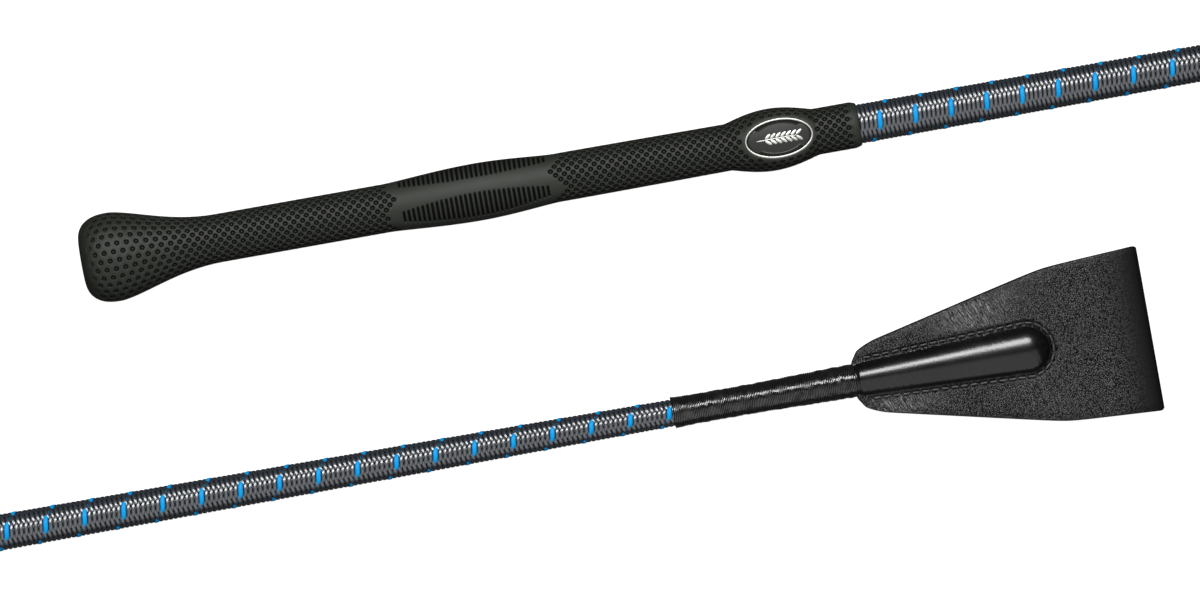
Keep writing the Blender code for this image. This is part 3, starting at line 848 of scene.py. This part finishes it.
def strip_stations():
    """Along the strip: u and the height of its outer face, and of its inner face.

    Each leaf is flat, rises to the fold's height, and the fold is half an ellipse outside and a
    smaller half ellipse inside.
    """
    leg = np.arange(LEAF_START, FOLD_SWELL_START, 0.34)
    centre = TONGUE_END - FOLD_LENGTH
    rise = np.linspace(FOLD_SWELL_START, centre, 20, endpoint=False)
    lift = smooth_step((rise - FOLD_SWELL_START) / (centre - FOLD_SWELL_START))
    turn = np.linspace(0.0, math.pi, 34)
    faces = []
    for inset in (0.0, LEATHER):
        flat, high = LEAF_GAP + LEATHER - inset, FOLD_HEIGHT - inset
        leaf = [[leg, np.full_like(leg, flat)], [rise, flat + (high - flat) * lift]]
        leaf = np.concatenate(leaf, axis=1)
        nose = [centre + (FOLD_LENGTH - inset) * np.sin(turn), high * np.cos(turn)]
        faces.append(np.concatenate([leaf, nose, leaf[:, ::-1] * [[1.0], [-1.0]]], axis=1))
    return faces


def tongue_grid():
    """The strip as a flat tube: its outer face from side to side, a rounded edge, and its inner face.

    Across, it is drawn in by an eighth where the whipping binds it.
    """
    outer, inner = strip_stations()
    side = np.where(np.arange(outer.shape[1]) < outer.shape[1] // 2, 1.0, -1.0)[:, None]
    across = np.sin(np.linspace(-math.pi / 2, math.pi / 2, OUTER_COLUMNS)) * 0.45
    across = across + np.linspace(-1.0, 1.0, OUTER_COLUMNS) * 0.55
    wide = half_width(np.minimum(outer[0], TONGUE_END))[:, None]
    near_end = np.clip((outer[0] - TONGUE_END + CORNER_LENGTH) / CORNER_LENGTH, 0.0, 1.0)
    wide = wide - CORNER_WIDTH * (1.0 - np.sqrt(1.0 - near_end**2))[:, None]
    flat_y = across * (wide - EDGE_INSET)
    u = outer[0][:, None]
    on_leg = smooth_step((FOLD_SWELL_START + 2.0 - u) / 4.0)
    relief = (ridge_rise(u, flat_y) - seam_sink(u, flat_y)) * on_leg
    lie = leather_lie(u, flat_y)
    pressed = 0.22 * np.exp(-(((np.abs(flat_y) - wide + EDGE_INSET) / 0.9) ** 2))
    top_z = outer[1][:, None] + side * (relief - pressed) + lie
    top = vectors(u, flat_y, top_z)
    under_across = np.linspace(1.0, -1.0, INNER_COLUMNS)
    under_y = under_across * (wide - EDGE_INSET)
    under_u = inner[0][:, None]
    under_relief = ridge_rise(under_u, under_y) * smooth_step((FOLD_SWELL_START + 2.0 - under_u) / 4.0)
    under_z = inner[1][:, None] + side * under_relief + leather_lie(under_u, under_y)
    under = vectors(under_u, under_y, under_z)
    right = rounded_edge(top[:, -1], under[:, 0], wide[:, 0])
    left = rounded_edge(under[:, -1], top[:, 0], -wide[:, 0])
    grid = np.concatenate([top, right, under, left], axis=1)
    bound = 1.0 - 0.13 * smooth_step((WHIP_END + 1.6 - grid[..., :1]) / 1.8)
    return grid * np.concatenate([np.ones_like(bound), bound, bound], axis=-1)


def rounded_edge(first, last, limit):
    """Three points round a cut edge, bowed out to limit between the faces' last points."""
    share = np.array([0.2, 0.5, 0.8])[None, :, None]
    points = first[:, None] + (last - first)[:, None] * share
    bow = np.array([0.8, 1.0, 0.8])[None, :]
    points[..., 1] += (limit[:, None] - points[..., 1]) * bow
    return points


def strip_uv(grid):
    """Millimetres along the strip and across it, so that the grain follows the leather."""
    middle = grid[:, OUTER_COLUMNS // 2 + 20]
    along = np.cumsum(np.linalg.norm(np.diff(middle, axis=0, prepend=middle[:1]), axis=1))
    across = np.concatenate([grid[..., 1], grid[:, :1, 1]], axis=1)
    return vectors(along[:, None], across)[None]


def crease_and_sheen_field(u, y):
    """Where the leather is creased and lightened by a painted sheen: the sum of a bell curve round each
    creased place.
    """
    total = 0.0 * u
    for along, across, length, width, strength in CREASES_WITH_SHEEN:
        total = total + strength * np.exp(-(((u - along) / length) ** 2) - ((y - across) / width) ** 2)
    return total


def polish_field(u, y):
    """1 on the ridge, and nearly as much on the fold and round the burnished cut edges."""
    polish = smooth_step((1.15 - ridge_share(u, y)) / 0.25)
    polish = np.maximum(polish, 0.9 * smooth_step((u - FOLD_POLISH[0]) / FOLD_POLISH[1]))
    polish[:, OUTER_COLUMNS:] = 0.0
    polish[:, OUTER_COLUMNS - 1 : OUTER_COLUMNS + EDGE_COLUMNS] = EDGE_POLISH
    polish[:, -EDGE_COLUMNS:] = EDGE_POLISH
    polish[:, 0] = EDGE_POLISH
    return polish


def groove_and_fold_shade_field(u, y):
    """Painted shade as a share of its full strength: the seam's groove as a share of its depth, and the
    fold, whichever is more.
    """
    sunk = smooth_step((u - FOLD_SHADE[0]) / FOLD_SHADE[1])
    outer = slice(0, OUTER_COLUMNS)
    sunk[:, outer] = np.maximum(sunk[:, outer], seam_sink(u[:, outer], y[:, outer]) / SEAM_DEPTH)
    return sunk


def leather_finish():
    """Pebble grain of small rounded cells, flattened and shiny on the ridge, with fine creases; painted
    shade between the pebbles, in the seam's groove and over the fold, and a painted sheen at the creased
    places.
    """
    made, build, shader = new_finish("black_leather", Specular_IOR_Level=0.42)
    lay = build.node("UVMap", {}, uv_map="lay")
    polish, crease_and_sheen, sunk = (painted(build, name) for name in ("polish", "crease_and_sheen", "sunk"))
    wander = noise(build, lay, 0.9, 2.0)
    cells = build.node("TexVoronoi", {"Vector": lay, "Scale": 3.0, "Smoothness": 0.4}, feature="SMOOTH_F1")
    pebbles = 1.0 - cells.between(0.05, 0.72)
    fine = noise(build, lay, 7.0, 3.0, 0.6)
    turn = {"Vector": lay, "Rotation": (0.0, 0.0, CREASE_LEAN), "Scale": (CREASE_WIDTH, CREASE_LENGTH, 1.0)}
    folds = build.node("Mapping", turn, vector_type="TEXTURE")
    wrinkles = noise(build, folds, 1.0, 2.0, 0.6).between(0.36, 0.60) * crease_and_sheen
    cloud = noise(build, lay, 0.085, 2.0)
    grain = (pebbles * 0.75 + fine * 0.25) * (1.0 - polish * 0.93) * (1.0 - 0.5 * crease_and_sheen)
    height = grain + wrinkles * 2.4 + fine * polish * 0.03
    # The colour is darker where painted shade lies in the seam's groove and over the fold; the cloud and
    # the wander are random tone.
    shade = (grain * 0.5 + wander * 0.5 + wrinkles * 0.25) * (0.35 + 1.3 * cloud) * (1.0 - 0.95 * sunk)
    # A painted sheen lightens the creased places.
    tone_with_painted_sheen = shade.between(0.05, 0.95) * (0.4 + 0.6 * crease_and_sheen)
    colour = tone_with_painted_sheen.blend((0.0006, 0.0006, 0.0007), (0.0240, 0.0240, 0.0250))
    roughness = 0.20 - 0.07 * polish + 0.08 * fine + 0.12 * cloud + 0.4 * sunk
    # Painted shade: the gloss is mixed towards black between the pebbles, less on the ridge and at the
    # creases, and in the seam's groove and over the fold.
    painted_shade = cells.between(0.22, 0.75) * (1.0 - polish) * (0.82 - 0.6 * crease_and_sheen) + 0.6 * sunk
    connect(build, shader, colour, roughness, height, 0.11, painted_shade)
    return made


grid = tongue_grid()
tongue = surface("tongue_leather", grid, leather_finish(), uv=strip_uv(grid))
# The leather carries its polish, its creases with their painted sheen, and the painted shade of the seam's
# groove and the fold.
for name, field in (("polish", polish_field), ("crease_and_sheen", crease_and_sheen_field), ("sunk", groove_and_fold_shade_field)):
    paint(tongue, name, field(grid[..., 0], grid[..., 1]))
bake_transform(tongue)
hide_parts("tongue_upper_leaf", "tongue_lower_leaf", "tongue_flap")

# --- Seam threads ---
# The leaves are lockstitched together round the ridge with waxed dark thread. One thread
# lies on each face, and dips through the leather at the end of every stitch.

SEAM_THREAD = 0.34


def seam_path():
    """The U round the ridge, a point every 0.15 mm: two nearly straight runs and half an ellipse."""
    run = np.linspace(SEAM_START, RIDGE_ROUND, 400)
    side = ridge_half_width(run) + SEAM_OFFSET
    turn = np.linspace(math.pi / 2, -math.pi / 2, 400)[1:-1]
    bend_u = RIDGE_ROUND + (RIDGE_ROUND_LENGTH + SEAM_OFFSET) * np.cos(turn)
    bend_y = (RIDGE_HALF_WIDTH + SEAM_OFFSET) * np.sin(turn)
    u = np.concatenate([run, bend_u, run[::-1]])
    y = np.concatenate([side, bend_y, -side[::-1]])
    length = np.concatenate([[0.0], np.cumsum(np.hypot(np.diff(u), np.diff(y)))])
    even = np.arange(0.0, length[-1], 0.15)
    return np.interp(even, length, u), np.interp(even, length, y), even


def seam_grid(side):
    """A round thread that lies in the seam's groove and dips under the leather at each hole."""
    u, y, along = seam_path()
    lie = LEAF_GAP + LEATHER + ridge_rise(u, y) - seam_sink(u, y)
    height = side * (lie + SEAM_THREAD * 0.75 - 0.95 * stitch_hole(along)) + leather_lie(u, y)
    path = vectors(u, y + 0.05 * np.sin(along * 2.1), height)
    return thread_along(path, (0.0, 0.0, side), SEAM_THREAD, SEAM_THREAD * 0.85, 8)


WAXED = ((0.004, 0.004, 0.004), (0.020, 0.020, 0.020))
wax = {"Specular_IOR_Level": 0.5, "contrast": (0.3, 0.7)}
seam = grained("waxed_seam_thread", (1500.0, 3200.0), 3.0, WAXED, (0.34, 0.3), 0.06, **wax)
for side, face in ((1.0, "upper"), (-1.0, "lower")):
    stitches = surface("seam_stitches_" + face, seam_grid(side), seam)
    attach(stitches, "crop")
    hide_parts("seam_thread_" + face)

# --- Whipping ---
# One black waxed thread is wound in about a hundred close turns over the braid's end and the
# tongue's tabs, then lacquered. The turns wander a little, and stand up as a lip at the start.

WHIP_LIP = 4.5
WHIP_WAIST = 4.25
WHIP_MOUTH = 4.75
THREAD_RADIUS = 0.25
THREAD_PITCH = 0.465
THREAD_STEPS = 30  # sections in a turn
THREAD_WANDER = 0.30  # how far a turn strays along the crop
THREAD_SWELL = 0.10  # and how far out or in


def whip_radius(u):
    """The winding's outer radius: a small lip, a waist, and a wider mouth at the tongue."""
    x = (u - WHIP_START) / (WHIP_END - WHIP_START)
    lip = (WHIP_LIP - WHIP_WAIST) * np.maximum(1.0 - x / 0.12, 0.0)
    return WHIP_WAIST + lip + (WHIP_MOUTH - WHIP_WAIST) * smooth_step((x - 0.35) / 0.65)


def unevenness(u, angle, seed, length, lobes):
    """A smooth random field of about -1 to 1: the sum of eight waves of random direction and phase.

    A wave has at most so many lobes round the crop.
    """
    random = np.random.default_rng(seed)
    total = 0.0 * u
    for _ in range(8):
        around = random.integers(-lobes, lobes + 1)
        along = u / length * random.uniform(0.4, 1.6)
        total = total + np.sin(along + around * angle + random.uniform(0, math.tau))
    return total / 8 * 1.8


def whip_grid():
    """A helix of touching turns, whose place and radius follow slow random fields."""
    last = (WHIP_END - WHIP_START - 2 * THREAD_RADIUS) / THREAD_PITCH
    turns = np.arange(0.0, last, 1.0 / THREAD_STEPS)
    angle = turns * math.tau
    u = WHIP_START + THREAD_RADIUS + turns * THREAD_PITCH
    ends = np.clip(np.minimum(u - WHIP_START, WHIP_END - u) / 2.0, 0.0, 1.0)
    wander = unevenness(u, angle, 4, 1.6, 3) * THREAD_WANDER * ends
    radius = whip_radius(u) - THREAD_RADIUS + unevenness(u, angle, 9, 0.5, 6) * THREAD_SWELL - 0.05
    outward = vectors(0.0, np.sin(angle), np.cos(angle))
    path = outward * radius[:, None]
    path[:, 0] = u + wander
    return thread_along(path, outward, THREAD_RADIUS, THREAD_RADIUS, 6)


def lacquer_finish():
    """Black thread under lacquer: glossy on the crowns of the turns, dull where it ran thin."""
    gloss = {"Coat_Roughness": 0.12, "Coat_IOR": 1.6, "Specular_IOR_Level": 0.5}
    made, build, shader = new_finish("lacquered_thread", **gloss)
    runs = noise(build, stretched(build, 420.0, 420.0), 1.0, 3.0)
    ply = noise(build, stretched(build, 3400.0, 1500.0), 1.0, 2.0)
    colour = ply.blend((0.001, 0.001, 0.0011), (0.007, 0.007, 0.0074))
    connect(build, shader, colour, 0.16 + 0.26 * runs.between(0.35, 0.7), ply, 0.06)
    build.feed(shader.inputs["Coat Weight"], 1.0 - runs.between(0.4, 0.75))
    return made


lacquer = lacquer_finish()
winding = surface("whipping_turns", whip_grid(), lacquer)
bed_u = np.linspace(WHIP_START + 0.3, WHIP_END - 0.2, 60)
bed = surface("whipping_bed", turned_grid(bed_u, whip_radius(bed_u) - 0.36, 64), lacquer)
for piece in (winding, bed):
    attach(piece, "crop")
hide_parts("whipping_thread")

# --- Table and light ---
# The crop lies on a plain white table in an even white room, under a long soft light on its
# far side and a wider, dimmer one on its near side.

TABLE_HALF = 30.0


def add_flat(name, low, high, height, finish, unseen):
    """A level rectangle of the set between two corners, left out of some kinds of light."""
    corners = [(low[0], low[1]), (high[0], low[1]), (high[0], high[1]), (low[0], high[1])]
    mesh = bpy.data.meshes.new(name)
    mesh.from_pydata([(*corner, height) for corner in corners], [], [(0, 1, 2, 3)])
    mesh.materials.append(finish)
    made = bpy.data.objects.new(name, mesh)
    for kind in unseen:
        setattr(made, "visible_" + kind, False)
    bpy.context.scene.collection.objects.link(made)


def table_finish():
    """A white that glows of itself, so that the table stays even to the picture's edges."""
    made, _, shader = new_finish("white_table", Roughness=0.9, Specular_IOR_Level=0.1)
    shader.inputs["Base Color"].default_value = (0.2, 0.2, 0.2, 1.0)
    shader.inputs["Emission Color"].default_value = (1.0, 1.0, 1.0, 1.0)
    shader.inputs["Emission Strength"].default_value = 0.93
    return made


def add_light(name, place, size, power):
    """A rectangular soft light that faces the crop's middle."""
    lamp = bpy.data.lights.new(name, "AREA")
    lamp.shape = "RECTANGLE"
    lamp.size, lamp.size_y = size
    lamp.energy = power
    made = bpy.data.objects.new(name, lamp)
    made.location = place
    tilt = math.atan2(place[1], place[2])
    made.rotation_euler = (-tilt, 0.0, 0.0)
    bpy.context.scene.collection.objects.link(made)


table_ends = ((-TABLE_HALF, -TABLE_HALF), (TABLE_HALF, TABLE_HALF))
add_flat("table", *table_ends, 0.0, table_finish(), ("glossy", "diffuse"))
add_light("long_soft_light", (0.0, 0.88, 1.58), (1.6, 0.5), 62.0)
add_light("near_white_card", (0.0, -1.1, 1.15), (3.0, 2.4), 25.0)
room = bpy.data.worlds.new("white_room")
room.use_nodes = True
walls = room.node_tree.nodes["Background"].inputs
walls["Color"].default_value = (1.0, 1.0, 1.0, 1.0)
walls["Strength"].default_value = 0.06
bpy.context.scene.world = room
bpy.context.scene.view_settings.view_transform = "Standard"

# --- Camera and divided view ---
# The camera looks straight down on the butt half. A small window just below the lens covers
# the lower part of the picture and passes its rays on to the tongue half, so that the two
# halves of the one crop are seen one above the other.

CAMERA_TURN = math.radians(10.1)  # the crop rises to the right by this much
CAMERA_HEIGHT = 3.0
VIEW_WIDTH = 0.3324
SENSOR = 36.0
VIEW_AT = (BUTT + 0.13945, -0.03541)
TONGUE_SHIFT = (0.3618, 0.0697, 0.0)  # from what the camera would see to the tongue half
DIVIDE_AT = -0.03485  # the crop's halves are parted along this line, in the frame's Y
WINDOW_DROP = 0.05
WINDOW_SIZE = 0.01


def add_camera():
    """A long lens above the butt half, turned so that the crop rises to the right."""
    lens = bpy.data.cameras.new("camera")
    lens.sensor_width = SENSOR
    lens.lens = SENSOR * CAMERA_HEIGHT / VIEW_WIDTH
    lens.clip_start = WINDOW_DROP / 5
    camera = bpy.data.objects.new("camera", lens)
    camera.location = (*VIEW_AT, AXIS + CAMERA_HEIGHT)
    camera.rotation_euler = (0.0, 0.0, -CAMERA_TURN)
    bpy.context.scene.collection.objects.link(camera)
    bpy.context.scene.camera = camera


def add_window():
    """A rectangle whose far side lies on the dividing line as the lens sees it."""
    far = VIEW_AT[1] + (DIVIDE_AT - VIEW_AT[1]) * WINDOW_DROP / CAMERA_HEIGHT
    low = (VIEW_AT[0] - WINDOW_SIZE, far - WINDOW_SIZE)
    high = (VIEW_AT[0] + WINDOW_SIZE, far)
    passing = bpy.data.materials.new("window")
    passing.use_nodes = True
    passing.node_tree.nodes.clear()
    build = Signal(passing.node_tree)
    here = build.node("NewGeometry", {}, output="Position")
    there = build.node("VectorMath", {0: here, 1: TONGUE_SHIFT}, operation="ADD")
    portal = build.node("BsdfRayPortal", {"Position": there})
    build.node("OutputMaterial", {"Surface": portal}, output=None)
    unseen = ("shadow", "diffuse", "glossy", "transmission", "volume_scatter")
    add_flat("window", low, high, AXIS + CAMERA_HEIGHT - WINDOW_DROP, passing, unseen)


add_camera()
add_window()
